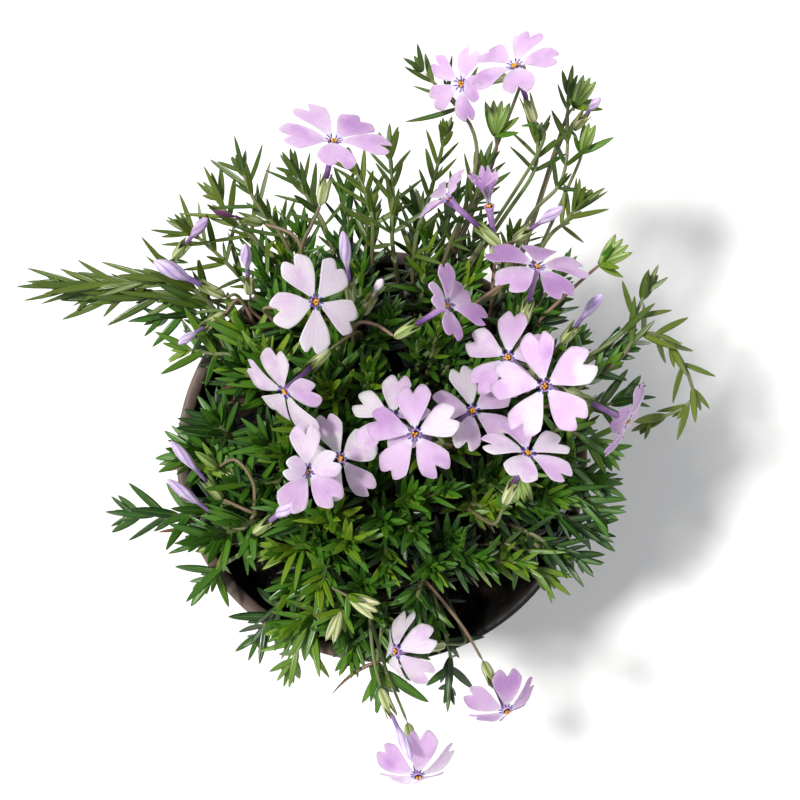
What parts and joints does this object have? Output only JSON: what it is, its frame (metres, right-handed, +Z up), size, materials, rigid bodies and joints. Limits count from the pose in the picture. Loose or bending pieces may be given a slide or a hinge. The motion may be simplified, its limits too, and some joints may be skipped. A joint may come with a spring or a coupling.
{
  "type": "potted moss phlox",
  "caption": "Creeping moss phlox in flower, with needle leaves, lilac notched blooms and buds, growing in soil in a round tapered nursery pot.",
  "frame": {"origin": "centre of the pot's flat underside", "axes": "+Z up along the pot's axis; +Y towards the side where the taller loose shoots lean, -Y towards the trailing flowers"},
  "size_m": [0.1671, 0.1774, 0.1731],
  "materials": {
    "pot": "satin",
    "soil": "matte",
    "foliage": "satin",
    "petal": "matte",
    "bud": "matte"
  },
  "bodies": {
    "root": {"pot": "pot", "soil": "soil", "spray_01": "foliage", "spray_02": "foliage", "spray_03": "foliage", "spray_04": "foliage", "spray_05": "foliage", "spray_06": "foliage", "spray_07": "foliage", "spray_08": "foliage", "spray_09": "foliage", "spray_10": "foliage", "spray_11": "foliage", "spray_12": "foliage", "spray_13": "foliage", "spray_14": "foliage", "spray_15": "foliage", "spray_16": "foliage", "spray_17": "foliage", "spray_18": "foliage", "bloom_01": "petal", "bloom_02": "petal", "bloom_03": "petal", "bloom_04": "petal", "bloom_05": "petal", "bloom_06": "petal", "bloom_07": "petal", "bloom_08": "petal", "bloom_09": "petal", "bloom_10": "petal", "bloom_11": "petal", "bloom_12": "petal", "bloom_13": "petal", "bloom_14": "petal", "bloom_15": "petal", "bloom_16": "petal", "bloom_17": "petal", "bloom_18": "petal", "bloom_19": "petal", "bloom_20": "petal", "bloom_21": "petal", "bud_01": "bud", "bud_02": "bud", "bud_03": "bud", "bud_04": "bud", "bud_05": "bud", "bud_06": "bud", "bud_07": "bud", "bud_08": "bud", "bud_09": "bud", "bud_10": "bud", "bud_11": "bud", "bud_12": "bud", "bud_13": "bud", "bud_14": "bud"}
  },
  "joints": []
}
